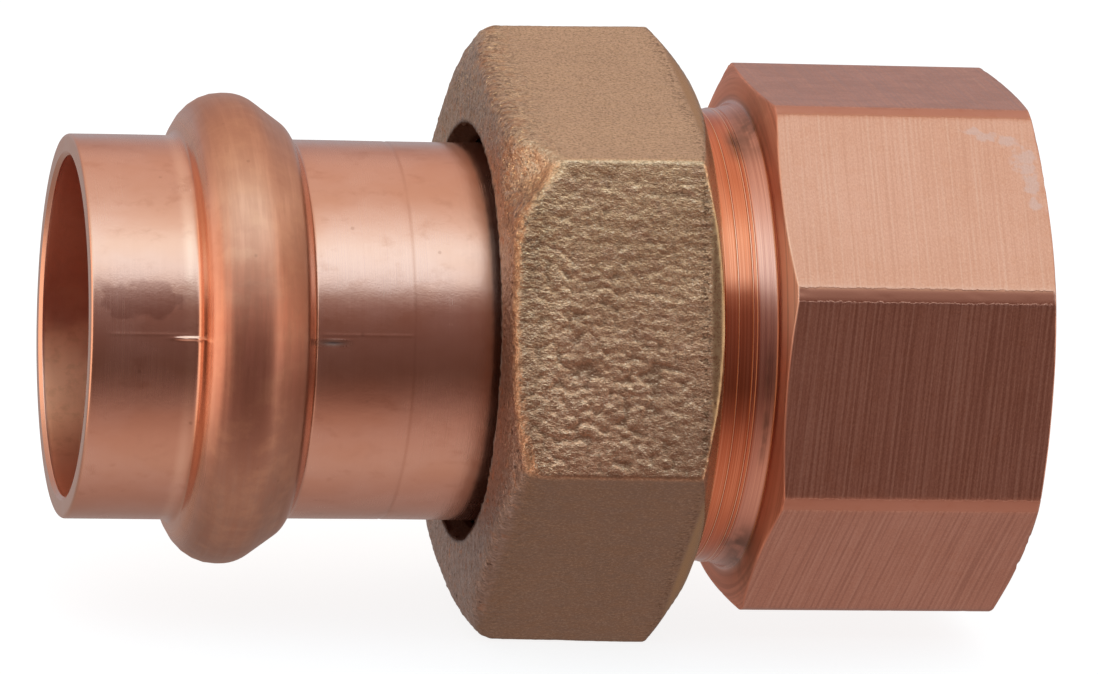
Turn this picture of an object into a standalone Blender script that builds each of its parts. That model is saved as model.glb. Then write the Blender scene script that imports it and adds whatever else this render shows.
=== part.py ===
"""Three-quarter inch pipe union: copper press end, bronze union nut, octagonal female-thread end.

The flow axis is X and the overall length is centred on the origin. Each piece is one closed solid
in its own object. Stations along the axis are measured from the press mouth, in millimetres.
"""

import math

import bmesh
import bpy

MM = 0.001
SEGMENTS = 40

# Whole object
LENGTH = 62.5

# Press tailpiece: takes copper tube of 22.2 mm outside diameter
SOCKET_R = 11.15
CUP_R = 12.6
TAIL_R = 12.47
WATERWAY_R = 9.95
BEAD_START, BEAD_PEAK, BEAD_END = 7.05, 10.45, 14.65
BEAD_R = 15.47
BEAD_WALL = 1.15
TUBE_STOP = 21.5
COLLAR_START, TAIL_END = 28.3, 31.1
COLLAR_R = 13.8
SEAL_GROOVE_IN, SEAL_GROOVE_OUT, SEAL_GROOVE_DEPTH = 10.85, 13.15, 1.75

# Seals, as centre station, centre radius and section radius
PRESS_SEAL = (10.7, 12.45, 1.5)
UNION_SEAL = (30.36, 12.0, 0.89)

# Union nut
NUT_START, NUT_END = 26.4, 40.4
NUT_FLATS = 35.4
NUT_TURN = 17.0
NUT_MOUTH_R = 13.6
NUT_LAND_R = 13.0
NUT_SHOULDER = 28.0

# Threaded body
NOSE_START = 31.4
NOSE_BORE_R = 10.2
NECK_START, NECK_END = 41.0, 43.35
NECK_R = 15.0
OCTAGON_START = 45.0
OCTAGON_END = 62.2
OCTAGON_FLATS = 34.2
OCTAGON_STRIP = 0.94

# Union thread: 16 turns to the inch, right-hand
UNION_PITCH = 25.4 / 16
UNION_DEPTH = 0.95
UNION_ROOT_R = 13.9
UNION_CLEARANCE = 0.2
UNION_TURNS = 4.25
BODY_THREAD_START = 32.4

# Female pipe thread: 14 turns to the inch, taper of 1 in 16 on the diameter
PIPE_PITCH = 25.4 / 14
PIPE_DEPTH = 1.35
PIPE_MOUTH_R = 13.28
PIPE_TAPER = 1 / 32
PIPE_TURNS = 7
PIPE_THREAD_START = 47.0

COPPER = (0.78, 0.44, 0.32)
BRONZE = (0.52, 0.40, 0.24)
RUBBER = (0.02, 0.02, 0.022)


def clear_scene():
    for item in list(bpy.data.objects):
        bpy.data.objects.remove(item, do_unlink=True)


def material(name, colour, metallic, roughness):
    result = bpy.data.materials.new(name)
    result.use_nodes = True
    shader = result.node_tree.nodes["Principled BSDF"]
    shader.inputs["Base Color"].default_value = (*colour, 1)
    shader.inputs["Metallic"].default_value = metallic
    shader.inputs["Roughness"].default_value = roughness
    return result


def place(station, radius, step, segments=SEGMENTS):
    """A point at a station, a radius and an angular step, in metres."""
    angle = 2 * math.pi * step / segments
    x = station - LENGTH / 2
    return (x * MM, radius * math.cos(angle) * MM, radius * math.sin(angle) * MM)


def add_ring(mesh, station, radius):
    return [mesh.verts.new(place(station, radius, step)) for step in range(SEGMENTS)]


def join_rings(mesh, first, second):
    for step in range(SEGMENTS):
        ahead = (step + 1) % SEGMENTS
        mesh.faces.new((first[step], first[ahead], second[ahead], second[step]))


class Thread:
    """A helical ridge on a turned surface, from its start station towards +X.

    The depth is positive for a ridge that stands outwards and negative for one that stands inwards.
    """

    def __init__(self, start, turns, pitch, base_r, depth, taper=0.0, crest=0.14):
        self.start, self.turns, self.pitch = start, turns, pitch
        self.base_r, self.depth, self.taper = base_r, depth, taper
        flank = abs(depth) * math.tan(math.radians(30)) / pitch
        root = 1 - crest - 2 * flank
        self.profile = [(0, 0), (root, 0), (root + flank, 1), (root + flank + crest, 1)]
        self.steps = round(turns * SEGMENTS)
        self.end = start + pitch * (turns + 1)

    def radius(self, station):
        return self.base_r + self.taper * (station - self.start)

    def ramp(self, step):
        """The ridge grows out of the surface over a quarter turn, and runs out over another."""
        quarter = SEGMENTS / 4
        return min(1, step / quarter, (self.steps - step) / quarter)

    def line(self, mesh, fraction, height, steps):
        line = []
        for step in range(steps + 1):
            station = self.start + self.pitch * (step / SEGMENTS + fraction)
            rise = self.depth * height * self.ramp(step) if height else 0
            line.append(mesh.verts.new(place(station, self.radius(station) + rise, step)))
        return line

    def build(self, mesh, before, after):
        """Fills the surface between the ring before the thread and the ring after it."""
        steps = self.steps
        lines = [self.line(mesh, *self.profile[0], steps + SEGMENTS)]
        lines += [self.line(mesh, *point, steps) for point in self.profile[1:]]
        lines.append(lines[0][SEGMENTS:])
        for lower, upper in zip(lines, lines[1:]):
            for step in range(steps):
                corners = (lower[step], lower[step + 1], upper[step + 1], upper[step])
                mesh.faces.new(corners)
        base = lines[0]
        for step in range(SEGMENTS - 1):
            mesh.faces.new((before[step], before[step + 1], base[step + 1], base[step]))
        seam = [before[0]] + [line[0] for line in lines]
        pivot = base[SEGMENTS - 1]
        mesh.faces.new((before[-1], before[0], pivot))
        for near, far in zip(seam, seam[1:]):
            mesh.faces.new((near, far, pivot))
        for step in range(steps + 1, steps + SEGMENTS):
            here, ahead = step % SEGMENTS, (step + 1) % SEGMENTS
            mesh.faces.new((base[step], base[step + 1], after[ahead], after[here]))
        seam = [line[steps] for line in lines] + [after[steps % SEGMENTS]]
        pivot = base[steps + 1]
        mesh.faces.new((pivot, after[(steps + 1) % SEGMENTS], after[steps % SEGMENTS]))
        for near, far in zip(seam, seam[1:]):
            mesh.faces.new((near, pivot, far))


def turned(name, outline, finish):
    """A closed turned solid. The outline is a closed loop of (station, radius) points and threads."""
    mesh = bmesh.new()
    rings = [item if isinstance(item, Thread) else add_ring(mesh, *item) for item in outline]
    for index, item in enumerate(rings):
        ahead = rings[(index + 1) % len(rings)]
        if isinstance(item, Thread):
            before, after = rings[index - 1], ahead
            if outline[index - 1][0] > item.start:
                before, after = after, before
            item.build(mesh, before, after)
        elif not isinstance(ahead, Thread):
            join_rings(mesh, item, ahead)
    return finished(name, mesh, finish)


def finished(name, mesh, finish):
    """Turns a bmesh into an object whose faces point out and whose round stretches shade smooth."""
    bmesh.ops.recalc_face_normals(mesh, faces=mesh.faces)
    data = bpy.data.meshes.new(name)
    mesh.to_mesh(data)
    mesh.free()
    data.materials.append(finish)
    data.shade_smooth()
    data.set_sharp_from_angle(angle=math.radians(35))
    result = bpy.data.objects.new(name, data)
    bpy.context.collection.objects.link(result)
    return result


def ring_seal(name, seal, finish, around=32, section=8):
    """A toroidal seal."""
    station, centre_r, section_r = seal
    mesh = bmesh.new()
    loops = []
    for index in range(section):
        angle = 2 * math.pi * index / section
        x = station + section_r * math.cos(angle)
        radius = centre_r + section_r * math.sin(angle)
        loops.append([mesh.verts.new(place(x, radius, step, around)) for step in range(around)])
    for index, loop in enumerate(loops):
        following = loops[(index + 1) % section]
        for step in range(around):
            ahead = (step + 1) % around
            mesh.faces.new((loop[step], loop[ahead], following[ahead], following[step]))
    return finished(name, mesh, finish)


def prism_cutter(name, corners, first, last):
    """A prism along the axis that keeps what is inside it. Corners are (radius, angle) pairs."""
    mesh = bmesh.new()
    ends = []
    for station in (first, last):
        x = (station - LENGTH / 2) * MM
        end = []
        for radius, angle in corners:
            y, z = radius * math.cos(angle) * MM, radius * math.sin(angle) * MM
            end.append(mesh.verts.new((x, y, z)))
        ends.append(end)
        mesh.faces.new(end)
    for index in range(len(corners)):
        ahead = (index + 1) % len(corners)
        mesh.faces.new((ends[0][index], ends[0][ahead], ends[1][ahead], ends[1][index]))
    bmesh.ops.recalc_face_normals(mesh, faces=mesh.faces)
    data = bpy.data.meshes.new(name)
    mesh.to_mesh(data)
    mesh.free()
    cutter = bpy.data.objects.new(name, data)
    cutter.hide_render = True
    cutter.display_type = "WIRE"
    bpy.context.collection.objects.link(cutter)
    return cutter


def keep_inside(target, cutter):
    trim = target.modifiers.new("wrench_flats", "BOOLEAN")
    trim.operation = "INTERSECT"
    trim.solver = "EXACT"
    trim.object = cutter


def hexagon(flats, turn):
    """Corners of a hexagon whose first face points along -Y, turned about +X by an angle."""
    radius = flats / 2 / math.cos(math.pi / 6)
    start = -math.pi / 2 - math.pi / 2 + math.pi / 6 - math.radians(turn)
    return [(radius, start + index * math.pi / 3) for index in range(6)]


def octagon(flats, strip):
    """Corners of an octagon with a flat at the bottom and a narrow flat along each corner."""
    inner = flats / 2
    reach = inner * math.tan(math.pi / 8) - strip / 2 / math.cos(math.pi / 8)
    radius = math.hypot(inner, reach)
    half = math.atan2(reach, inner)
    corners = []
    for face in range(8):
        middle = face * math.pi / 4
        corners += [(radius, middle - half), (radius, middle + half)]
    return corners


def arc(station, radius, size, start, end, count):
    """Points on an arc about (station, radius), from one angle to another in degrees."""
    points = []
    for index in range(count + 1):
        angle = math.radians(start + (end - start) * index / count)
        points.append((station + size * math.cos(angle), radius + size * math.sin(angle)))
    return points


def bead(wall):
    """The O-ring bead from left to right, set in from its outer surface by a wall."""
    centre_r = BEAD_R - 3.28
    left = arc(BEAD_PEAK, centre_r, 3.28 - wall, 172, 84, 5)
    slope_end = (13.75, 13.78) if wall == 0 else (12.9, 13.3)
    return left + [(12.1 - 0.3 * wall, 14.98 - wall), slope_end]


def press_tailpiece(finish):
    """Press cup with its O-ring bead, tube stop, and the collar that the nut pulls on."""
    outside = [(0.0, 12.3), (0.3, CUP_R), (BEAD_START, CUP_R)]
    outside += bead(0) + [(BEAD_END, TAIL_R)]
    outside += [(COLLAR_START - 0.5, TAIL_R), (COLLAR_START, TAIL_R + 0.5), (COLLAR_START, COLLAR_R)]
    face = [(TAIL_END - 0.3, COLLAR_R), (TAIL_END, COLLAR_R - 0.3), (TAIL_END, SEAL_GROOVE_OUT)]
    groove_floor = TAIL_END - SEAL_GROOVE_DEPTH
    face += [(groove_floor, SEAL_GROOVE_OUT), (groove_floor, SEAL_GROOVE_IN)]
    face += [(TAIL_END, SEAL_GROOVE_IN), (TAIL_END, WATERWAY_R)]
    bore = [(TUBE_STOP + 0.7, WATERWAY_R), (TUBE_STOP + 0.2, WATERWAY_R + 0.4)]
    bore += [(TUBE_STOP, SOCKET_R), (BEAD_END - 1.3, SOCKET_R)]
    bore += list(reversed(bead(BEAD_WALL))) + [(BEAD_START + 1.0, SOCKET_R)]
    bore += [(0.6, SOCKET_R), (0.0, SOCKET_R + 0.6)]
    return turned("press_tailpiece", outside + face + bore, finish)


def union_nut(finish):
    """Hexagonal nut, with a rear shoulder that bears on the tailpiece's collar."""
    corner_r = NUT_FLATS / 2 / math.cos(math.pi / 6)
    over = corner_r + 0.3
    root_r = UNION_ROOT_R + UNION_DEPTH + UNION_CLEARANCE
    thread = Thread(
        BODY_THREAD_START - UNION_PITCH / 2, UNION_TURNS, UNION_PITCH, root_r, -UNION_DEPTH
    )
    outline = [(NUT_START, NUT_MOUTH_R), (NUT_START, 16.4)]
    outline += [(NUT_START + 0.2, 17.7), (NUT_START + 0.65, 19.2), (NUT_START + 1.5, over)]
    outline += [(38.75, over), (NUT_END - 0.1, 17.6), (NUT_END, 17.3)]
    outline += [(NUT_END, root_r + 0.3), (thread.end + 0.1, root_r), thread]
    outline += [(thread.start - 0.2, root_r), (NUT_SHOULDER, root_r)]
    outline += [(NUT_SHOULDER, NUT_LAND_R), (NUT_START + 1.0, NUT_LAND_R)]
    blank = turned("union_nut", outline, finish)
    shape = hexagon(NUT_FLATS, NUT_TURN)
    keep_inside(blank, prism_cutter("nut_flats", shape, NUT_START - 5, NUT_END + 5))
    return blank


def threaded_body(finish):
    """Octagonal body, with the union thread on its nose and the female pipe thread in its end."""
    over = OCTAGON_FLATS / 2 / math.cos(math.pi / 8)
    union = Thread(BODY_THREAD_START, UNION_TURNS, UNION_PITCH, UNION_ROOT_R, UNION_DEPTH)
    pipe_r = PIPE_MOUTH_R - PIPE_TAPER * (LENGTH - PIPE_THREAD_START)
    pipe = Thread(
        PIPE_THREAD_START, PIPE_TURNS, PIPE_PITCH, pipe_r, -PIPE_DEPTH, PIPE_TAPER, crest=0.07
    )
    outline = [(NOSE_START, NOSE_BORE_R), (NOSE_START, 13.3), (NOSE_START + 0.6, UNION_ROOT_R)]
    outline += [union, (union.end + 0.1, UNION_ROOT_R), (NECK_START, NECK_R)]
    outline += [(NECK_END, NECK_R), (44.15, 15.95), (44.5, 17.0), (OCTAGON_START, over)]
    outline += [(OCTAGON_END, over), (LENGTH - 0.15, 17.3), (LENGTH, 16.6)]
    outline += [(LENGTH, PIPE_MOUTH_R + 0.4), (pipe.end + 0.1, pipe.radius(pipe.end))]
    outline += [pipe, (PIPE_THREAD_START - 0.2, pipe_r), (PIPE_THREAD_START - 2, pipe_r)]
    outline += [(PIPE_THREAD_START - 2.6, NOSE_BORE_R)]
    blank = turned("threaded_body", outline, finish)
    shape = octagon(OCTAGON_FLATS, OCTAGON_STRIP)
    keep_inside(blank, prism_cutter("body_flats", shape, NOSE_START - 5, LENGTH + 5))
    return blank


def main():
    clear_scene()
    press_tailpiece(material("tail_copper", COPPER, 1.0, 0.28))
    ring_seal("press_o_ring", PRESS_SEAL, material("press_seal_rubber", RUBBER, 0.0, 0.5))
    union_nut(material("nut_bronze", BRONZE, 1.0, 0.45))
    ring_seal("union_seal", UNION_SEAL, material("union_seal_rubber", RUBBER, 0.0, 0.5))
    threaded_body(material("body_copper", COPPER, 1.0, 0.32))


main()
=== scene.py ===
"""Looks of the pipe union: machined and cast surfaces, metals, studio light and the camera.

Shapes are computed in millimetres in the row's frame, along the flow axis X, and stored in metres.
"""

import math

import bmesh
import bpy
import numpy as np
from mathutils import Matrix, Vector


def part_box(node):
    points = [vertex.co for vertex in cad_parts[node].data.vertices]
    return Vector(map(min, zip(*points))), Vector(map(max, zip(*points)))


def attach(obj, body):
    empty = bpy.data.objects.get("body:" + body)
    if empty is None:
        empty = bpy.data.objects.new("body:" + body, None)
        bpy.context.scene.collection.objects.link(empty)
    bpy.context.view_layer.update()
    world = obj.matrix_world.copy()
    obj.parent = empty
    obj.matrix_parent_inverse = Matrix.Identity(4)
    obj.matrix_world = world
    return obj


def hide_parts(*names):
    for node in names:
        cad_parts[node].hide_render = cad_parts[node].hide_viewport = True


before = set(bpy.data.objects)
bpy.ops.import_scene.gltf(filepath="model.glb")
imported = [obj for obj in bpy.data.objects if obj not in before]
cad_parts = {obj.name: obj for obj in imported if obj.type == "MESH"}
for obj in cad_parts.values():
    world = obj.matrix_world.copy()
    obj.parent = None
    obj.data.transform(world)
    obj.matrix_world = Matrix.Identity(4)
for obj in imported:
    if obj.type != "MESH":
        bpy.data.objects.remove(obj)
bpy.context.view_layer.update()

MM = 0.001
TAU = 2 * math.pi


def node_span(node):
    """Lowest and highest corner of a CAD node, in millimetres."""
    low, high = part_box(node)
    return np.array(low) / MM, np.array(high) / MM


TAIL_LOW, TAIL_HIGH = node_span("press_tailpiece")
NUT_LOW, NUT_HIGH = node_span("union_nut")
_, BODY_HIGH = node_span("threaded_body")

MOUTH = TAIL_LOW[0]
END = BODY_HIGH[0]
BEAD_R = TAIL_HIGH[2]
OCTAGON_FLATS = 2 * BODY_HIGH[2]

# Press tailpiece, stations from the mouth
CUP_R, TAIL_R, SOCKET_R, WATERWAY_R = 12.6, 12.47, 11.15, 9.95
TUBE_STOP = 21.5
COLLAR_START, COLLAR_R = 28.3, 13.8
SEAL_GROOVE = (10.85, 13.15, 1.75)
SEAM_ANGLE = math.radians(180 - 12.5)

# Union nut
NUT_FLATS = 35.4
NUT_TURN = 17.0
NUT_MOUTH_R, NUT_LAND_R, NUT_SHOULDER = 13.6, 13.0, 28.0

# Threaded body, stations from the press mouth
NOSE_START, NOSE_BORE_R = 31.4, 10.2
NECK_START, NECK_END, NECK_R = 41.0, 43.35, 15.0
OCTAGON_STRIP = 0.94
# Ridges turned round the neck: station, height and half width
NECK_RIDGES = [(41.86, 0.07, 0.07), (42.82, 0.09, 0.08), (43.1, 0.06, 0.06)]

# Threads: pitch, ridge depth, radius, clearance or taper, then turns and start
UNION_PITCH, UNION_DEPTH, UNION_ROOT_R, UNION_CLEARANCE = 25.4 / 16, 0.95, 13.9, 0.2
UNION_TURNS, BODY_THREAD_START = 4.25, 32.4
PIPE_PITCH, PIPE_DEPTH, PIPE_MOUTH_R, PIPE_TAPER = 25.4 / 14, 1.35, 13.28, 1 / 32
PIPE_TURNS, PIPE_THREAD_START = 7, 47.0


# ------ noise for relief


def lattice(cell, seed):
    """A repeatable random number from 0 to 1 for each whole-number point."""
    x, y, z = np.moveaxis(cell, -1, 0)
    value = x * 374761393 + y * 668265263 + z * 2147483647 + seed * 974634777
    value = (value ^ (value >> 13)) * 1274126177
    value = value ^ (value >> 16)
    return (value & 0xFFFFFF) / 0xFFFFFF


def value_noise(points, seed):
    """Smooth noise from 0 to 1 at an array of points whose last axis is x, y, z."""
    cell = np.floor(points).astype(np.int64)
    part = points - cell
    part = part * part * (3 - 2 * part)
    total = 0
    for step in np.ndindex(2, 2, 2):
        weight = np.where(step, part, 1 - part).prod(-1)
        total = total + weight * lattice(cell + np.array(step), seed)
    return total


def relief(points, size, octaves=3, seed=1):
    """Layered noise about zero. Size is the width of its largest lumps along x, y and z."""
    total, strength, whole = 0, 1.0, 0.0
    scaled = points / np.array(size)
    for octave in range(octaves):
        total = total + strength * (value_noise(scaled + 17.3 * octave, seed + octave) - 0.5)
        whole += strength
        scaled = scaled * 2.03
        strength *= 0.55
    return 2 * total / whole


def pebbles(points, size, seed):
    """Rounded lumps with creases between them, from 1 on a lump down to 0 in a crease."""
    scaled = points / np.array(size)
    cell = np.floor(scaled).astype(np.int64)
    nearest = np.full(points.shape[:-1], 9.0)
    for step in np.ndindex(3, 3, 3):
        corner = cell + np.array(step) - 1
        jitter = np.stack([lattice(corner, seed + axis) for axis in range(3)], -1)
        nearest = np.minimum(nearest, np.linalg.norm(corner + jitter - scaled, axis=-1))
    return np.clip(1.0 - nearest * nearest / 0.75, 0, 1)


# ------ mesh building


class Skin:
    """Collects rings of points around the flow axis and the faces between them."""

    def __init__(self):
        self.points = []
        self.faces = []
        self.count = 0

    def add(self, points):
        """Adds points and returns their numbers."""
        self.points.append(points)
        self.count += len(points)
        return np.arange(self.count - len(points), self.count)

    def face(self, *corners):
        self.faces.append([int(corner) for corner in corners])

    def fan(self, pivot, rim):
        for near, far in zip(rim, rim[1:]):
            self.face(pivot, near, far)

    def ring(self, points):
        """Adds a ring. Returns its point numbers and its angles."""
        angles = np.unwrap(np.arctan2(points[:, 2], points[:, 1]))
        return self.add(points), angles - TAU * round(angles[0] / TAU)

    def quads(self, first, second):
        ahead = np.roll(np.arange(len(first)), -1)
        self.faces += np.stack([first, first[ahead], second[ahead], second], 1).tolist()

    def zip(self, first, second):
        """Joins two rings that may have different numbers of points."""
        (a, a_angles), (b, b_angles) = first, second
        if len(a) == len(b):
            self.quads(a, b)
            return
        a_angles = np.append(a_angles, a_angles[0] + TAU)
        b_angles = np.append(b_angles, b_angles[0] + TAU)
        i = j = 0
        while i < len(a) or j < len(b):
            on_a, on_b = a[i % len(a)], b[j % len(b)]
            if j == len(b) or (i < len(a) and a_angles[i + 1] <= b_angles[j + 1]):
                i += 1
                self.face(on_a, a[i % len(a)], on_b)
            else:
                j += 1
                self.face(on_a, b[j % len(b)], on_b)

    def rows(self, grid):
        """Adds rings that have the same number of points. Returns the first and the last."""
        rings = [self.ring(row) for row in grid]
        for (first, _), (second, _) in zip(rings, rings[1:]):
            self.quads(first, second)
        return rings[0], rings[-1]

    def finish(self, name, sharp=35, heights=None):
        """The object, in metres. Heights are the relief of its first points."""
        data = bpy.data.meshes.new(name)
        data.from_pydata((np.concatenate(self.points) * MM).tolist(), [], self.faces)
        mesh = bmesh.new()
        mesh.from_mesh(data)
        bmesh.ops.recalc_face_normals(mesh, faces=mesh.faces)
        mesh.to_mesh(data)
        mesh.free()
        data.shade_smooth()
        data.set_sharp_from_angle(angle=math.radians(sharp))
        if heights is not None:
            values = np.full(self.count, 0.5)
            values[: heights.size] = heights.ravel()
            data.attributes.new("relief", "FLOAT", "POINT").data.foreach_set("value", values)
        result = bpy.data.objects.new(name, data)
        bpy.context.collection.objects.link(result)
        return result


def closed_ring(grid, name):
    """The object of a grid whose last row joins its first."""
    skin = Skin()
    first, last = skin.rows(grid)
    skin.quads(last[0], first[0])
    return skin.finish(name)


def even_angles(count):
    return np.arange(count) * TAU / count


def turned(x, r, angles):
    """Points at places along the axis, radii and angles that broadcast together."""
    x, r, angles = np.broadcast_arrays(x, r, angles)
    return np.stack([x, r * np.cos(angles), r * np.sin(angles)], -1)


def lathe(outline, angles):
    """The turned grid of an outline of stations from the press mouth and radii."""
    outline = np.array(outline)
    return turned(outline[:, :1] + MOUTH, outline[:, 1:], angles)


def filleted(outline, steps=6):
    """Rounds an open outline. Each corner is (station, radius, fillet radius)."""
    points = [np.array(outline[0][:2], float)]
    for before, here, after in zip(outline, outline[1:], outline[2:]):
        corner = np.array(here[:2], float)
        inward = np.array(before[:2]) - corner
        onward = np.array(after[:2]) - corner
        inward, onward = inward / np.linalg.norm(inward), onward / np.linalg.norm(onward)
        half = math.acos(np.clip(inward @ onward, -1, 1)) / 2
        if not here[2] or half > math.radians(89):
            points.append(corner)
            continue
        reach = here[2] / math.tan(half)
        middle = (inward + onward) / np.linalg.norm(inward + onward)
        centre = corner + middle * here[2] / math.sin(half)
        start, end = corner + inward * reach - centre, corner + onward * reach - centre
        sweep = math.pi - 2 * half
        for turn in np.linspace(0, sweep, steps + 1):
            offset = start * math.sin(sweep - turn) + end * math.sin(turn)
            points.append(centre + offset / math.sin(sweep))
    points.append(np.array(outline[-1][:2], float))
    return np.array(points)


def spaced(points, spacing):
    """Adds points along an outline so that no step is longer than the spacing."""
    result = [points[0]]
    for first, second in zip(points, points[1:]):
        count = max(1, math.ceil(np.linalg.norm(second - first) / spacing))
        for step in range(1, count + 1):
            result.append(first + (second - first) * step / count)
    return np.array(result)


class Thread:
    """A helical ridge, outwards for a positive depth. It starts at a station and runs towards +X."""

    def __init__(self, start, turns, pitch, base_r, depth, taper=0.0, crest=0.14, around=200):
        self.start, self.pitch, self.around = start, pitch, around
        self.base_r, self.depth, self.taper = base_r, depth, taper
        flank = abs(depth) * math.tan(math.radians(30)) / pitch
        root, soft = 1 - crest - 2 * flank, 0.018
        rise, fall = root + flank, root + flank + crest
        # Share of the pitch and of the depth at each corner of the ridge
        self.profile = [(root - soft, 0), (root + soft, 0.06), (rise - soft, 0.94), (rise + soft, 1)]
        self.profile += [(fall - soft, 1), (fall + soft, 0.94), (1 - soft, 0.06)]
        self.steps = round(turns * around)
        self.end = start + pitch * (turns + 1)

    def radius(self, station):
        return self.base_r + self.taper * (station - self.start)

    def line(self, fraction, height, steps):
        step = np.arange(steps + 1)
        station = self.start + self.pitch * (step / self.around + fraction)
        ramp = np.clip(np.minimum(step, self.steps - step) / (self.around / 4), 0, 1)
        radius = self.radius(station) + self.depth * height * ramp * ramp * (3 - 2 * ramp)
        return turned(station + MOUTH, radius, TAU * step / self.around)

    def build(self, skin, before, after):
        """Fills the surface between the ring before the thread and the ring after it."""
        steps, around = self.steps, self.around
        base = skin.add(self.line(0, 0, steps + around))
        lines = [base] + [skin.add(self.line(*corner, steps)) for corner in self.profile]
        lines.append(base[around:])
        for lower, upper in zip(lines, lines[1:]):
            for step in range(steps):
                skin.face(lower[step], lower[step + 1], upper[step + 1], upper[step])
        for step in range(around - 1):
            skin.face(before[step], before[step + 1], base[step + 1], base[step])
        skin.fan(base[around - 1], [before[-1], before[0]] + [line[0] for line in lines])
        for step in range(steps + 1, steps + around):
            skin.face(base[step], base[step + 1], after[(step + 1) % around], after[step % around])
        last = [after[(steps + 1) % around], after[steps % around]]
        skin.fan(base[steps + 1], last + [line[steps] for line in reversed(lines)])


def towards(points, degrees):
    """Distance from the axis in one direction, in degrees from +Y towards +Z."""
    angle = math.radians(degrees)
    return points[..., 1] * math.cos(angle) + points[..., 2] * math.sin(angle)


def bar_field(points, sides, round_off):
    """Distance outside a bar along X. Each side is its direction and its distance from the axis."""
    result = None
    for degrees, distance in sides:
        side = towards(points, degrees) - distance
        result = side if result is None else soft_max(result, side, round_off)
    return result


def soft_max(first, second, width):
    """The larger of two fields, with the crease between them rounded over a width."""
    overlap = np.maximum(width - np.abs(first - second), 0) / width
    return np.maximum(first, second) + overlap * overlap * width / 4


def cast_out(field, centre_x, centre_r, targets, angles):
    """Moves each target along its line from a centre circle until the field is zero."""
    centre = turned(centre_x, centre_r, angles)
    way = targets - centre
    near, far = np.full(targets.shape[:-1], 0.5), np.full(targets.shape[:-1], 1.7)
    for _ in range(20):
        middle = (near + far) / 2
        outside = field(centre + way * middle[..., None]) > 0
        far = np.where(outside, middle, far)
        near = np.where(outside, near, middle)
    return centre + way * near[..., None]


def normals_of(field, points, step=0.02):
    """Directions straight out of a field's surface."""
    parts = []
    for axis in range(3):
        offset = np.zeros(3)
        offset[axis] = step
        parts.append(field(points + offset) - field(points - offset))
    normal = np.stack(parts, -1)
    return normal / np.linalg.norm(normal, axis=-1, keepdims=True)


# ------ press tailpiece


def tail_angles():
    """Even columns, with finer ones along the parting line on the front."""
    fine = SEAM_ANGLE + np.radians(np.linspace(-3.2, 3.2, 33))
    coarse = even_angles(252)
    away = np.abs((coarse - SEAM_ANGLE + math.pi) % TAU - math.pi)
    return np.sort(np.concatenate([coarse[away > math.radians(3.4)], fine]))


def tailpiece():
    """Drawn copper tail: cup, O-ring bead, tube stop and collar, with burrs on its parting line."""
    outside = [(0.0, SOCKET_R + 0.25, 0), (0.0, CUP_R, 0.26), (7.08, CUP_R, 0.5), (7.66, BEAD_R, 3.05)]
    outside += [(11.3, BEAD_R, 2.6), (14.03, 13.5, 1.5), (14.66, TAIL_R, 0.35)]
    outside += [(20.9, TAIL_R, 0), (21.02, TAIL_R - 0.02, 0), (21.14, TAIL_R - 0.02, 0)]
    outside += [(21.26, TAIL_R, 0), (COLLAR_START, TAIL_R, 0.4), (COLLAR_START, COLLAR_R, 0.12)]
    face_x = TAIL_HIGH[0] - MOUTH
    inner_groove, outer_groove, depth = SEAL_GROOVE
    outside += [(face_x, COLLAR_R, 0.3), (face_x, outer_groove, 0.05)]
    outside += [(face_x - depth, outer_groove, 0.2), (face_x - depth, inner_groove, 0.2)]
    outside += [(face_x, inner_groove, 0.05), (face_x, WATERWAY_R, 0.2)]
    inside = [(TUBE_STOP + 0.6, WATERWAY_R, 0.3), (TUBE_STOP, SOCKET_R, 0.3)]
    inside += [(13.3, SOCKET_R, 0.4), (12.75, 13.1, 0.8), (11.2, BEAD_R - 1.15, 1.5)]
    inside += [(8.4, BEAD_R - 1.15, 1.3), (8.1, SOCKET_R, 0.4), (0.24, SOCKET_R, 0.08)]
    outline = filleted(outside + inside + outside[:1])
    split = int(np.argmin(np.abs(outline[:, 0] - TUBE_STOP - 0.6) + (outline[:, 1] > 10.5) * 99))
    rows = np.concatenate([spaced(outline[: split + 1], 0.28), spaced(outline[split:], 0.6)[1:]])
    angles = tail_angles()
    grid = lathe(rows, angles)
    rise = parting_line(rows, angles)
    wave = relief(grid, (9, 7, 7), 2, seed=5) * 0.03
    outer = (rows[:, 1:] > 11.9) & (rows[:, :1] < 27)
    grid = grid + turned(0, np.where(outer, rise + wave - 0.03, 0), angles)
    return closed_ring(grid[:-1], "tailpiece_drawn")


def bump_at(value, centre, width):
    return np.exp(-(((value - centre) / width) ** 2))


def parting_line(rows, angles):
    """Height of the seam line and of the two burrs that it leaves beside the bead."""
    x = rows[:, :1]
    s = (angles - SEAM_ANGLE) * CUP_R
    seam = 0.014 * bump_at(s, 0.12, 0.1) * ((x > 1.2) & (x < 6.6))
    left = 0.11 * bump_at(x, 6.2, 0.75) * bump_at(s, 0.36, 0.11)
    valley = 0.12 * bump_at(x, 7.2, 0.3) * bump_at(s, 0.42, 0.15)
    right = 0.03 * bump_at(x, 15.9, 0.7) * bump_at(s, 0.34, 0.07)
    notch = -0.04 * bump_at(x, 15.7, 0.5) * bump_at(s, 0.52, 0.15)
    trail = 0.012 * bump_at(s, 0.0, 0.1) * ((x > 15) & (x < 21))
    return seam + left + valley + right + notch + trail


# ------ union nut


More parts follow.
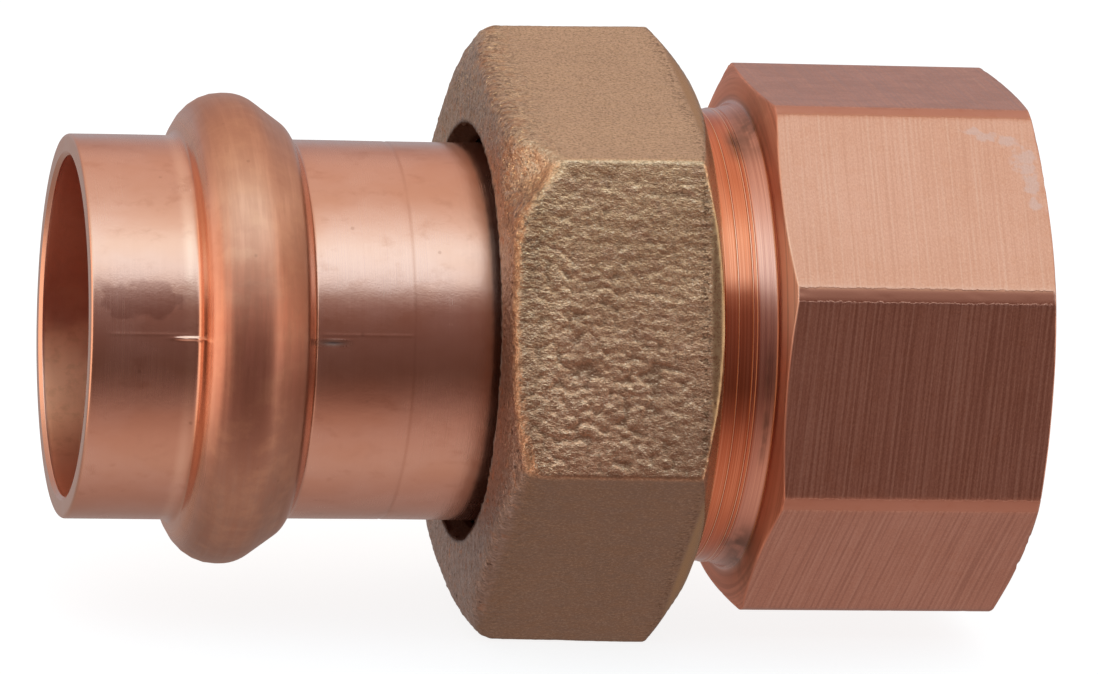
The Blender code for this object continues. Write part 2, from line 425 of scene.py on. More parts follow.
def nut_field(points):
    """Distance outside the nut's casting: hexagon, domed rear, chamfered front."""
    x = points[..., 0] - MOUTH
    start, end = NUT_LOW[0] - MOUTH, NUT_HIGH[0] - MOUTH
    r = np.hypot(points[..., 1], points[..., 2])
    draft = 0.012 * np.maximum(end - 3 - x, 0)
    sides = [(180 - NUT_TURN + face * 60, (NUT_FLATS + 0.1) / 2) for face in range(6)]
    shell = bar_field(points, sides, 0.22) + draft
    over = np.maximum(r - 16.2, 0)
    worn = 1 - towards(points, 150 - NUT_TURN) / np.maximum(r, 1)
    blunt = 1.45 * np.exp(-worn / 0.006) * np.clip(over / 2.6, 0, 1)
    rear = (start + 0.05 + 0.086 * over * over + blunt - x) / np.sqrt(1 + (0.164 * over) ** 2)
    front = (x - end + 0.5 * np.maximum(r - 17.5, 0)) * 0.93
    return soft_max(soft_max(shell, rear, 0.75), front, 0.2)


def cast_texture(points):
    """Height of the sand-cast grain about the ideal surface. The front flat is the roughest."""
    x = points[..., 0] - NUT_LOW[0]
    width = NUT_HIGH[0] - NUT_LOW[0]
    across = towards(points, 90 - NUT_TURN) / 10
    on_front = np.clip((towards(points, 180 - NUT_TURN) - 16.6) / 0.5, 0, 1)
    on_front = on_front * np.clip((10.3 - np.abs(across * 10)) / 0.9, 0, 1)
    rough = np.clip(1.0 - 0.85 * x / width - 0.35 * across, 0.06, 1.0) * on_front
    smooth_front = np.clip((width - 0.7 - x) / 0.6, 0.12, 1)
    wander = relief(points, (1.9, 1.3, 1.3), 2, seed=61)[..., None] * np.array((0.24, 0.2, 0.2))
    lumps = pebbles(points + wander, (0.64, 0.58, 0.58), 11) - 0.5
    lumps = lumps * (0.5 + value_noise(points / 1.5, 67))
    rows = relief(points + wander * 0.3, (1.1, 0.34, 0.34), 2, seed=23)
    fine = relief(points, (0.3, 0.27, 0.27), 2, seed=37)
    broad = relief(points, (5.0, 4.0, 4.0), 2, seed=41)
    rear = np.clip((3.0 - x) / 1.6, 0, 1) * (1 - on_front)
    height = lumps * (0.006 + 0.1 * rough + 0.035 * rear)
    height = height + rows * 0.04 * on_front * (1 - 0.75 * rough)
    height = height + fine * (0.016 + 0.05 * rear + 0.012 * on_front)
    return height * smooth_front + broad * 0.05, height


def nut_angles():
    """Columns of the nut's outside, finer on its rough front flat."""
    middle = math.pi - math.radians(NUT_TURN)
    reach = math.radians(31.5)
    fine = middle + np.linspace(-reach, reach, 178)
    coarse = middle + np.linspace(reach, TAU - reach, 390)[1:-1]
    return np.sort(np.concatenate([fine, coarse]) % TAU)


def union_nut():
    """Sand-cast hexagon nut with a machined thread inside."""
    start, end = NUT_LOW[0], NUT_HIGH[0]
    angles = nut_angles()
    face_r, mean_r = 16.4, 18.7
    root_r = UNION_ROOT_R + UNION_DEPTH + UNION_CLEARANCE
    annulus = spaced(np.array([(start, NUT_MOUTH_R), (start, face_r)]), 0.25)
    flats = [(start, face_r), (start + 0.7, mean_r), (end - 0.9, mean_r)]
    flats = spaced(np.array(flats), 0.125)
    front = spaced(np.array([(end - 0.9, mean_r), (end, 17.2), (end, root_r + 0.45)]), 0.25)
    rows = np.concatenate([annulus, flats[1:], front[1:]])
    targets = turned(rows[:, :1], rows[:, 1:], angles)
    shell = cast_out(nut_field, (start + end) / 2 + 0.4, 14.3, targets, angles)
    normal = normals_of(nut_field, shell)
    ease = np.ones(len(rows))
    ease[-4:] = (0.5, 0.25, 0.1, 0.0)
    texture, grain = cast_texture(shell)
    shell = shell + normal * ((texture - 0.02) * ease[:, None])[..., None]
    shell[..., 1:] = np.clip(shell[..., 1:], NUT_LOW[1:], NUT_HIGH[1:])
    ragged = relief(shell[0] + 3.0, (0.9, 0.9, 0.9), 3, seed=53) * 0.3 + 0.1
    for row, share in ((0, 1.0), (1, 0.4)):
        shell[row] += turned(0, ragged * share, angles)
    skin = Skin()
    rear, front = skin.rows(shell)
    inner = even_angles(200)
    thread_start = BODY_THREAD_START - UNION_PITCH / 2
    thread = Thread(thread_start, UNION_TURNS, UNION_PITCH, root_r, -UNION_DEPTH)
    mouth = [(end - MOUTH, root_r + 0.4), (thread.end + 0.15, root_r + 0.02), (thread.end + 0.1, root_r)]
    mouth_first, after = skin.rows(lathe(mouth, inner))
    skin.zip(front, mouth_first)
    undercut = [(thread_start - 0.2, root_r), (NUT_SHOULDER + 0.1, root_r)]
    before, last = skin.rows(lathe(undercut, inner))
    thread.build(skin, before[0], after[0])
    throat = [(NUT_SHOULDER, root_r - 0.1, 0), (NUT_SHOULDER, NUT_LAND_R, 0.15)]
    throat += [(start - MOUTH + 1.1, NUT_LAND_R, 0.4), (start - MOUTH + 0.25, NUT_MOUTH_R, 0)]
    bore_first, bore_last = skin.rows(lathe(spaced(filleted(throat), 0.3), inner))
    skin.zip(last, bore_first)
    skin.zip(bore_last, rear)
    return skin.finish("union_nut_cast", 50, np.clip(0.5 + grain * 8, 0, 1))


# ------ threaded body


# An eighth of a turn
EIGHTH = math.pi / 4


def strip_distance(inner):
    """How far the octagon's corner strips are from the axis, from the distance of its flats."""
    return inner / math.cos(EIGHTH / 2) - OCTAGON_STRIP / 2 * math.tan(EIGHTH / 2)


def octagon_columns():
    """Angles of the mesh columns, finer along every long edge, and the bar's radius there."""
    inner = OCTAGON_FLATS / 2
    reach = inner * math.tan(EIGHTH / 2) - OCTAGON_STRIP / 2 / math.cos(EIGHTH / 2)
    edge = np.array([0.0, 0.05, 0.12, 0.25])
    face = np.concatenate([-reach + edge, np.linspace(-reach, reach, 27)[1:-1], reach - edge[::-1]])
    half = OCTAGON_STRIP / 2
    strip = np.array([-half + 0.05, -half + 0.13, -0.15, 0.0, 0.15, half - 0.13, half - 0.05])
    angles, radii = [], []
    for index in range(8):
        for offsets, distance, turn in ((face, inner, 0), (strip, strip_distance(inner), EIGHTH / 2)):
            angles.append(index * EIGHTH + turn + np.arctan2(offsets, distance))
            radii.append(np.hypot(offsets, distance))
    order = np.argsort(np.concatenate(angles))
    return np.concatenate(angles)[order], np.concatenate(radii)[order]


CONE = [(NECK_END - 0.4, NECK_R, 0), (NECK_END, NECK_R, 0.4), (44.42, 15.44, 0.4)]
CONE += [(44.62, 17.0, 0.7), (45.08, 18.55, 0)]
CONE_LINE = filleted(CONE)
# The cone is a plain turned surface between these radii
ROUND_START, CONE_ROUND_R = NECK_R + 0.04, 16.6
LENGTH = END - MOUTH
CHAMFER_R = np.array([16.6, 17.2, 18.55])
CHAMFER_X = np.array([LENGTH, LENGTH - 0.1, LENGTH - 0.42])


def cone_x(r):
    """Station of the front cone at a radius."""
    return np.interp(r, CONE_LINE[1:, 1], CONE_LINE[1:, 0])


def body_field(points):
    """Distance outside the octagonal bar, its front cone and its rear chamfer."""
    x = points[..., 0] - MOUTH
    r = np.hypot(points[..., 1], points[..., 2])
    inner = OCTAGON_FLATS / 2 - 0.004
    distances = (inner, strip_distance(inner))
    bar = bar_field(points, [(face * 22.5, distances[face % 2]) for face in range(16)], 0.09)
    cone = (cone_x(r) - x) * 0.9
    end = x - np.interp(r, CHAMFER_R, CHAMFER_X)
    return soft_max(soft_max(bar, cone, 0.1), end, 0.12)


def edge_wear(points):
    """Small nicks and unevenness, deepest along the octagon's edges."""
    x = points[..., 0] - MOUTH
    r = np.hypot(points[..., 1], points[..., 2])
    on_corner = np.clip((r - 18.05) / 0.25, 0, 1)
    at_end = np.clip((x - LENGTH + 0.6) / 0.3, 0, 1) * (r > 16.9)
    at_front = bump_at(x, np.interp(r, CONE_LINE[:, 1], CONE_LINE[:, 0]), 0.2)
    at_front = at_front * np.clip((r - 17.0) / 0.9, 0, 1)
    chips = np.clip(relief(points, (0.5, 0.4, 0.4), 2, seed=71) - 0.3, 0, 1)
    return -chips * (0.06 * on_corner + 0.25 * at_end + 0.12 * at_front)


def threaded_body():
    """Copper body: union thread, polished neck, octagon and female pipe thread."""
    skin = Skin()
    fine = even_angles(200)
    union = Thread(BODY_THREAD_START, UNION_TURNS, UNION_PITCH, UNION_ROOT_R, UNION_DEPTH)
    nose = [(NOSE_START, NOSE_BORE_R, 0), (NOSE_START, 13.3, 0.1), (NOSE_START + 0.6, UNION_ROOT_R, 0)]
    nose_first, nose_last = skin.rows(lathe(filleted(nose), fine))
    columns, bar_r = octagon_columns()
    undercut = [(union.end + 0.08, UNION_ROOT_R), (union.end + 0.12, NECK_R - 0.12)]
    under_first, under_last = skin.rows(lathe(undercut, fine))
    union.build(skin, nose_last[0], under_first[0])
    neck = [(union.end + 0.2, NECK_R - 0.05, 0), (NECK_START, NECK_R, 0.05)]
    for ridge, height, half in NECK_RIDGES:
        neck += [(ridge - half, NECK_R, 0.03), (ridge, NECK_R + height, 0.04)]
        neck += [(ridge + half, NECK_R, 0.03)]
    neck.append((NECK_END, NECK_R, 0))
    neck_first, neck_last = skin.rows(lathe(spaced(filleted(neck, 4), 0.12), columns))
    skin.zip(under_last, neck_first)
    bar_first, bar_last = skin.rows(octagon_grid(columns, bar_r))
    skin.zip(neck_last, bar_first)
    pipe_r = PIPE_MOUTH_R - PIPE_TAPER * (LENGTH - PIPE_THREAD_START)
    pipe = Thread(PIPE_THREAD_START, PIPE_TURNS, PIPE_PITCH, pipe_r, -PIPE_DEPTH, PIPE_TAPER, 0.07)
    mouth = [(LENGTH, PIPE_MOUTH_R + 0.9, 0), (LENGTH, PIPE_MOUTH_R + 0.42, 0.06)]
    mouth += [(pipe.end + 0.1, pipe.radius(pipe.end), 0)]
    mouth_first, mouth_last = skin.rows(lathe(filleted(mouth), fine))
    skin.zip(bar_last, mouth_first)
    floor_x = PIPE_THREAD_START - 2.6
    bore = [(PIPE_THREAD_START - 0.2, pipe_r, 0), (floor_x + 0.6, pipe_r, 0.3)]
    bore += [(floor_x, NOSE_BORE_R, 0.2), (NOSE_START + 0.2, NOSE_BORE_R, 0)]
    bore_first, bore_last = skin.rows(lathe(spaced(filleted(bore), 1.0), fine))
    pipe.build(skin, bore_first[0], mouth_last[0])
    skin.zip(bore_last, nose_first)
    return skin.finish("threaded_body_machined", sharp=30)


def octagon_grid(columns, bar_r):
    """Rows that follow the cone's edge and the end chamfer's edge on every column."""
    start_x, end_x = cone_x(bar_r), np.interp(bar_r, CHAMFER_R, CHAMFER_X)
    cone = [(x, r) for x, r in spaced(CONE_LINE, 0.25) if ROUND_START < r < CONE_ROUND_R]
    rows = [(x + 0 * bar_r, r + 0 * bar_r) for x, r in cone]
    for share in (0.1, 0.3, 0.5, 0.7, 0.84, 0.93, 0.98):
        r = CONE_ROUND_R + (bar_r - CONE_ROUND_R) * share
        rows.append((cone_x(r), r))
    for offset in (0, 0.04, 0.1, 0.2, 0.4):
        rows.append((start_x + offset, bar_r))
    for share in np.linspace(0, 1, 46)[1:-1]:
        rows.append((start_x + 0.4 + (end_x - start_x - 0.8) * share, bar_r))
    for offset in (0.4, 0.2, 0.1, 0.04, 0):
        rows.append((end_x - offset, bar_r))
    for share in (0.1, 0.3, 0.6, 1.0):
        r = bar_r + (CHAMFER_R[0] - bar_r) * share
        rows.append((np.interp(r, CHAMFER_R, CHAMFER_X), r))
    rows = np.array(rows)
    grid = turned(rows[:, 0] + MOUTH, rows[:, 1], columns)
    outer = cast_out(body_field, (45.0 + LENGTH) / 2 + MOUTH, 9.0, grid[len(cone) :], columns)
    normal = normals_of(body_field, outer, 0.005)
    grid[len(cone) :] = outer + normal * edge_wear(outer)[..., None]
    return np.concatenate([grid, turned(END, [[16.2], [15.4]], columns)])


# ------ seals


def ring_seal(name, low, high):
    """Moulded O-ring, with the fine flash line of its mould on its inner and outer side."""
    section_r = (high[0] - low[0]) / 2 - 0.012
    centre_x = (low[0] + high[0]) / 2
    centre_r = high[2] - section_r - 0.02
    turn = even_angles(40)[:, None]
    size = section_r - 0.03 + 0.035 * bump_at(np.abs(np.sin(turn)), 1, 0.01)
    grid = turned(centre_x + size * np.cos(turn), centre_r + size * np.sin(turn), even_angles(180))
    return closed_ring(grid, name)


# ------ materials


def connect(tree, socket, value):
    """Links a field to a socket, or sets the socket to a plain value."""
    if isinstance(value, Field):
        tree.links.new(value.socket, socket)
    else:
        socket.default_value = value


def shade(tree, kind, settings, inputs, output=0):
    """Adds a shader node and returns one of its outputs as a field."""
    made = tree.nodes.new("ShaderNode" + kind)
    for key, value in settings.items():
        setattr(made, key, value)
    for key, value in inputs.items():
        connect(tree, made.inputs[key], value)
    return Field(tree, made.outputs[output])


class Field:
    """A number or colour that varies over a surface. Arithmetic on it adds shader nodes."""

    def __init__(self, tree, socket):
        self.tree, self.socket = tree, socket

    def math(self, operation, *others):
        return shade(self.tree, "Math", {"operation": operation}, dict(enumerate((self, *others))))

    def __add__(self, other):
        return self.math("ADD", other)

    def __sub__(self, other):
        return self.math("SUBTRACT", other)

    def __rsub__(self, other):
        return self.math("MULTIPLY_ADD", -1, other)

    def __mul__(self, other):
        return self.math("MULTIPLY", other)

    def __or__(self, other):
        return self.math("MAXIMUM", other)

    def span(self, low, high, to_low=0, to_high=1, ease="SMOOTHSTEP"):
        """Goes from one value to another while the field goes from low to high."""
        settings = {"interpolation_type": ease, "clamp": True}
        inputs = {0: self, 1: low, 2: high, 3: to_low, 4: to_high}
        return shade(self.tree, "MapRange", settings, inputs)

    def fade(self, low, high):
        """1 up to low, easing to 0 at high."""
        return self.span(low, high, 1, 0)

    def near(self, centre, reach):
        """1 where the field is at the centre, easing to 0 at the reach on either side."""
        return (self - centre).math("ABSOLUTE").fade(0, reach)

    def mix(self, first, second):
        """A colour between two others."""
        colours = [(*c, 1) if isinstance(c, tuple) else c for c in (first, second)]
        settings = {"data_type": "RGBA", "clamp_factor": True}
        return shade(self.tree, "Mix", settings, {0: self, 6: colours[0], 7: colours[1]}, 2)

    def blend(self, first, second):
        """A number between two others."""
        return shade(self.tree, "Mix", {"data_type": "FLOAT"}, {0: self, 2: first, 3: second})

    def ramp(self, stops):
        """A colour that follows the field. Each stop is (value, colour)."""
        low, high = stops[0][0], stops[-1][0]
        made = self.tree.nodes.new("ShaderNodeValToRGB")
        connect(self.tree, made.inputs[0], self.span(low, high, ease="LINEAR"))
        elements = made.color_ramp.elements
        while len(elements) < len(stops):
            elements.new(0.5)
        for element, (place, colour) in zip(elements, stops):
            element.position = (place - low) / (high - low)
            element.color = (*colour, 1)
        return Field(self.tree, made.outputs[0])


class Paint:
    """A node material with one Principled shader. Its place vector is in millimetres."""

    def __init__(self, name, metallic):
        self.material = bpy.data.materials.new(name)
        self.material.use_nodes = True
        self.tree = self.material.node_tree
        self.shader = self.tree.nodes["Principled BSDF"]
        self.colour = None
        self.set(metallic=metallic)
        self.place = self.vector("SCALE", {0: shade(self.tree, "TexCoord", {}, {}, "Object"), 3: 1 / MM})
        axes = [shade(self.tree, "SeparateXYZ", {}, {0: self.place}, axis) for axis in range(3)]
        self.x, self.y, self.z = axes
        self.station = self.x - MOUTH
        self.radius = (self.y * self.y + self.z * self.z).math("SQRT")
        angle = self.z.math("ARCTAN2", self.y * -1)
        # Arc length up from the front, on the neck's radius, and up from the tail's parting line
        self.arc = angle * -NECK_R
        self.around = angle * CUP_R - (math.pi - SEAM_ANGLE) * CUP_R

    def vector(self, operation, inputs):
        return shade(self.tree, "VectorMath", {"operation": operation}, inputs)

    def towards(self, degrees):
        """Distance from the axis in one direction, in degrees from +Y towards +Z."""
        angle = math.radians(degrees)
        return self.z * math.sin(angle) + self.y * math.cos(angle)

    def stretched(self, sizes, offset, place=None):
        """The place divided by a lump size along each axis."""
        scaled = self.vector("DIVIDE", {0: place or self.place, 1: sizes})
        return self.vector("ADD", {0: scaled, 1: (offset, offset * 0.7, offset * 1.3)})

    def noise(self, sizes, detail=2, rough=0.55, offset=0, place=None):
        inputs = {"Vector": self.stretched(sizes, offset, place), "Scale": 1}
        inputs |= {"Detail": detail, "Roughness": rough}
        return shade(self.tree, "TexNoise", {}, inputs, "Fac")

    def spots(self, sizes, offset):
        """Distance from the nearest of many scattered points."""
        inputs = {"Vector": self.stretched(sizes, offset), "Scale": 1, "Randomness": 1}
        return shade(self.tree, "TexVoronoi", {}, inputs, "Distance")

    def tint(self, share, colour):
        """Mixes a colour over the paint's own."""
        self.colour = share.mix(self.colour, colour)

    def bump(self, height, distance, normal=None):
        inputs = {"Height": height, "Distance": distance * MM, "Strength": 1}
        if normal is not None:
            inputs["Normal"] = normal
        return shade(self.tree, "Bump", {}, inputs)

    def set(self, **sockets):
        for key, value in sockets.items():
            name = key.replace("_", " ").title().replace("Ior", "IOR")
            connect(self.tree, self.shader.inputs[name], value)

    def finish(self, rough, normal):
        self.set(base_color=self.colour, roughness=rough, normal=normal)
        return self.material


COPPER = (0.66, 0.355, 0.255)
COPPER_PALE = (0.7, 0.41, 0.32)
# Painted light and shade on the bead, from its underside to its top: height in millimetres and colour
BEAD_SHADE_BY_HEIGHT = [
    (-12, (0.45, 0.26, 0.19)),
    (-6.5, (0.42, 0.205, 0.15)),
    (-2.5, (0.6, 0.265, 0.185)),
    (0.5, (0.7, 0.285, 0.18)),
    (3.7, (0.59, 0.25, 0.155)),
    (8, (0.685, 0.38, 0.265)),
    (13, (0.56, 0.28, 0.18)),
]
# Neck colour, and the cone's steep band, painted: orange for light bounced between copper faces, pale
# for a highlight band part way up
NECK_ORANGE, CONE_REFLECTED_ORANGE = (0.62, 0.185, 0.09), (0.74, 0.33, 0.22)
CONE_HIGHLIGHT = (1.0, 0.66, 0.5)


def tail_material():
    """Drawn copper: satin with faint draw lines, a duller bead with light and shade painted by height, a
    painted highlight and crease shade at the bead's feet, a socket painted lighter low down, and a
    painted dark reflection on the cup.
    """
    paint = Paint("drawn_copper", 1)
    x = paint.station
    cloud = paint.noise((7, 5, 5), 3)
    paint.colour = cloud.span(0.35, 0.68).mix(COPPER, COPPER_PALE)
    bead = x.span(7.1, 8.4) * x.fade(13.4, 14.6)
    streak = paint.noise((0.45, 5, 5), 3, 0.6, 4)
    # Painted light and shade: the bead's colour follows its height, with random streaks and golden
    # patches mixed in
    bead_tone_and_shade = paint.towards(75).ramp(BEAD_SHADE_BY_HEIGHT)
    bead_tone_and_shade = streak.span(0.4, 0.66, 0.28, 0).mix(bead_tone_and_shade, (0.42, 0.19, 0.12))
    golden = paint.noise((1.8, 1.4, 1.4), 4, 0.6, 18).span(0.42, 0.7)
    bead_tone_and_shade = (golden * 0.22).mix(bead_tone_and_shade, (0.76, 0.43, 0.27))
    paint.tint(bead, bead_tone_and_shade)
    # Painted highlight on the fillet at the bead's left foot
    paint.tint(x.near(6.45, 0.6) * 0.5, (0.84, 0.53, 0.4))
    # Painted shade: a deeper orange in the creases at both feet of the bead
    foot_crease_shade = x.near(7.3, 0.5) | x.near(14.45, 0.4) * 0.5
    paint.tint(foot_crease_shade * 0.6, (0.8, 0.36, 0.19))
    tarnish = paint.noise((2.2, 1.6, 1.6), 4, 0.65, 9).span(0.54, 0.74)
    paint.tint(tarnish * 0.35, (0.5, 0.23, 0.15))
    # Painted reflection: the blotch is a soft dark patch on the cup, in from the mouth
    blotch = x.near(3.2, 3.6) * paint.around.near(1.9, 2)
    blotch += paint.noise((1.6, 1.3, 1.3), 2, 0.5, 3).span(0.3, 0.7, -0.3, 0.3)
    blotch = blotch.span(0.25, 0.5)
    paint.tint(blotch * 0.5, (0.36, 0.16, 0.12))
    nick = x.near(15.7, 1.5) * paint.around.near(-0.52, 0.36)
    paint.tint(nick * 0.85, (0.12, 0.1, 0.095))
    ring = x.near(21.08, 0.2) * cloud.span(0.35, 0.6, 0.1, 0.5)
    paint.tint(ring * 0.7, (0.44, 0.2, 0.13))
    pits = paint.spots((2.6, 2.6, 2.6), 2).fade(0.03, 0.07)
    paint.tint(pits * 0.35, (0.3, 0.14, 0.09))
    inside = paint.radius.fade(11.3, 11.9) * x.span(0.2, 0.5)
    # Painted light: the inside of the socket is lighter and golden low down and darker red towards the
    # top, with real stains over it
    lit_patch = paint.z * -0.09 + cloud.span(0.3, 0.7, -0.14, 0.14)
    lit_patch = lit_patch.span(0.05, 0.5) * paint.z.span(-10.8, -8, 0.3, 1)
    socket_tone_and_light = lit_patch.mix((0.61, 0.235, 0.155), (1, 0.5, 0.3))
    stains = paint.noise((1.1, 0.9, 0.9), 4, 0.65, 14).span(0.48, 0.68)
    socket_tone_and_light = (stains * 0.22).mix(socket_tone_and_light, (0.5, 0.17, 0.095))
    paint.tint(inside, socket_tone_and_light)
    paint.tint(x.fade(0.05, 0.3) * 0.6, (0.72, 0.4, 0.27))
    lines = paint.noise((0.05, 6, 6), 2, 0.6, 1)
    rough = cloud.span(0.3, 0.7, 0.2, 0.26) + lines.span(0.3, 0.7, -0.03, 0.03)
    rough += bead * 0.17 + inside * 0.2 + nick * 0.3
    normal = paint.bump(lines, 0.0012)
    normal = paint.bump(paint.noise((0.12, 0.12, 0.12), 2, 0.5, 6), 0.004, normal)
    normal = paint.bump(paint.noise((1.6, 1.2, 1.2), 3, 0.5, 12), 0.012, normal)
    return paint.finish(rough, normal)


def bronze_material():
    """Sand-cast bronze: tan painted highlight on its high spots and brown painted shade in its hollows,
    lighter upper and darker lower faces painted by light, grey rear face, turned front.
    """
    paint = Paint("cast_bronze", 1)
    x = paint.station
    start, end = NUT_LOW[0] - MOUTH, NUT_HIGH[0] - MOUTH
    up_face = paint.towards(90 - NUT_TURN)
    # Painted light: tan and brown both get lighter towards the nut's upper side
    tan = up_face.span(-9, 8).mix((0.67, 0.375, 0.225), (0.77, 0.485, 0.28))
    brown = up_face.span(-9, 8).mix((0.55, 0.29, 0.175), (0.6, 0.355, 0.195))
    paint.colour = paint.noise((5, 4, 4), 3, 0.6).span(0.3, 0.7).mix(brown, tan)
    pink = paint.noise((1.3, 0.9, 0.9), 3, 0.6, 8).span(0.5, 0.68)
    paint.tint(pink * 0.4, (0.62, 0.35, 0.235))
    height = shade(paint.tree, "Attribute", {"attribute_name": "relief"}, {}, "Fac")
    # Painted shade in the hollows of the cast grain and painted highlight on its high spots
    hollow_shade = height.fade(0.2, 0.5)
    paint.tint(hollow_shade * 0.6, (0.235, 0.13, 0.075))
    peak_highlight = height.span(0.6, 0.85)
    paint.tint(peak_highlight * 0.4, (0.82, 0.54, 0.34))
    mottle = paint.noise((0.3, 0.2, 0.2), 3, 0.65, 3)
    paint.tint(mottle.span(0.38, 0.5, 0.4, 0), (0.25, 0.15, 0.09))
    front = paint.towards(180 - NUT_TURN)
    # Painted shade on the nut's lower face
    lower = (paint.towards(240 - NUT_TURN) - front).span(-0.4, 0.4)
    paint.tint(lower * 0.85, (0.235, 0.165, 0.12))
    # Painted light on the nut's upper face
    upper = (paint.towards(120 - NUT_TURN) - front).span(-0.4, 0.4)
    paint.tint(upper * 0.78, (0.575, 0.435, 0.305))
    blotch = paint.noise((1.6, 1.2, 1.2), 3, 0.6, 55).span(0.42, 0.6)
    paint.tint(blotch * lower * 0.4, (0.31, 0.185, 0.11))
    front_face = 1 - (lower | upper)
    # Darker on the lower half of the front flat away from its rear end, and along its rear edge
    front_darkening = x.span(start + 5, start + 11) * up_face.fade(-8, -1)
    front_darkening |= x.fade(start + 1.2, start + 3.2)
    paint.tint(front_darkening * front_face * 0.36, (0.27, 0.16, 0.09))
    sand = paint.noise((0.17, 0.14, 0.14), 2, 0.6, 41)
    paint.tint(sand.span(0.38, 0.47, 0.5, 0) * (1 - lower * 0.4), (0.24, 0.16, 0.1))
    paint.tint(sand.span(0.55, 0.63, 0, 0.4) * (1 - lower * 0.7), (0.8, 0.62, 0.44))
    rear = x.fade(start + 0.5, start + 1.5) * front.fade(16.7, 17.3)
    grey = mottle.span(0.35, 0.65).mix((0.26, 0.18, 0.14), (0.42, 0.3, 0.25))
    ochre = mottle.span(0.35, 0.65).mix((0.26, 0.165, 0.115), (0.46, 0.32, 0.225))
    grey = paint.z.span(-2, 8).mix(grey, ochre)
    paint.tint(rear * 0.75, grey)
    rust = paint.noise((1.1, 0.8, 0.8), 3, 0.6, 21).span(0.57, 0.66)
    by_hole = paint.radius.span(14.3, 15.8, 0.9, 0.35)
    paint.tint(rust * rear * by_hole, (0.46, 0.2, 0.09))
    scab = paint.noise((0.5, 0.35, 0.8), 3, 0.6, 58)
    paint.tint(scab.span(0.52, 0.66, 0, 0.4) * rear, (0.6, 0.47, 0.41))
    pit = paint.noise((0.8, 0.42, 0.42), 2, 0.5, 62).fade(0.3, 0.36)
    paint.tint(pit * rear * 0.8, (0.09, 0.05, 0.035))
    crust = x.fade(start + 0.8, start + 4.2) * paint.towards(105).span(9, 15)
    pore = paint.noise((0.42, 0.3, 0.3), 3, 0.65, 44).fade(0.38, 0.5)
    paint.tint(pore * crust * 0.75, (0.17, 0.1, 0.065))
    ginger = paint.noise((0.8, 0.6, 0.6), 2, 0.6, 51).span(0.5, 0.62)
    paint.tint(ginger * crust * 0.4, (0.52, 0.27, 0.14))
    fleck = paint.noise((0.4, 0.3, 0.3), 3, 0.7, 15).span(0.59, 0.66)
    fleck *= crust * mottle.span(0.3, 0.5, 0.35, 1)
    paint.tint(fleck * 0.85, (1, 0.76, 0.45))
    edge = x.near(end - 1.3, 0.7) * mottle.fade(0.4, 0.5)
    paint.tint(edge * 0.7, (0.16, 0.09, 0.05))
    turned_face = x.span(end - 1.1, end - 0.75)
    paint.tint(turned_face * 0.9, (0.4, 0.265, 0.145))
    # Painted shade: the throat is near black and not metallic, so the narrow gap round the tube reads as
    # dark
    throat = paint.radius.fade(13.75, 14.2) * x.fade(end - 9, end - 8)
    paint.tint(throat * 0.95, (0.045, 0.02, 0.013))
    bore = paint.radius.fade(15.5, 15.8) * x.span(start + 4, start + 5)
    paint.tint(bore | x.span(end - 0.2, end - 0.1), (0.8, 0.6, 0.36))
    rough = sand.span(0.3, 0.7, 0.46, 0.32) - fleck * 0.14 - peak_highlight * 0.08 - turned_face * 0.08
    lumps = paint.noise((0.3, 0.2, 0.2), 3, 0.6, 30)
    fine = paint.noise((0.13, 0.1, 0.1), 2, 0.6, 33)
    cast_share = 1 - turned_face
    coarse = x.span(start + 1.5, start + 4.5, 2.2, 1)
    normal = paint.bump(lumps * coarse * cast_share, 0.045)
    normal = paint.bump(fine * cast_share, 0.025, normal)
    # The painted-dark throat is not metallic either
    metal = 1 - throat
    paint.set(metallic=metal, specular_ior_level=metal * 0.5)
    return paint.finish(rough, normal)


# Pale dried stain on the upper front flat: station, place up the flat, reach along and across
STAIN = [(57.9, 5.5, 0.9, 0.45), (58.9, 5.1, 0.9, 0.5), (60.2, 4.7, 0.8, 0.6)]
STAIN += [(61.2, 3.4, 0.9, 1.5), (61.5, 1.4, 0.7, 1.4), (61.6, -0.2, 0.45, 0.7)]
# Dark smudges left on the neck: station and degrees from +Y towards +Z
SMUDGES = [(44.1, 106, 1.3, 3.6), (42.9, 112, 0.8, 1.7), (43.9, 176, 0.35, 1.8), (43.7, 228, 1.1, 2.4)]
SMUDGES += [(44.3, 234, 0.9, 3.8), (43.9, 190, 0.3, 2.2)]


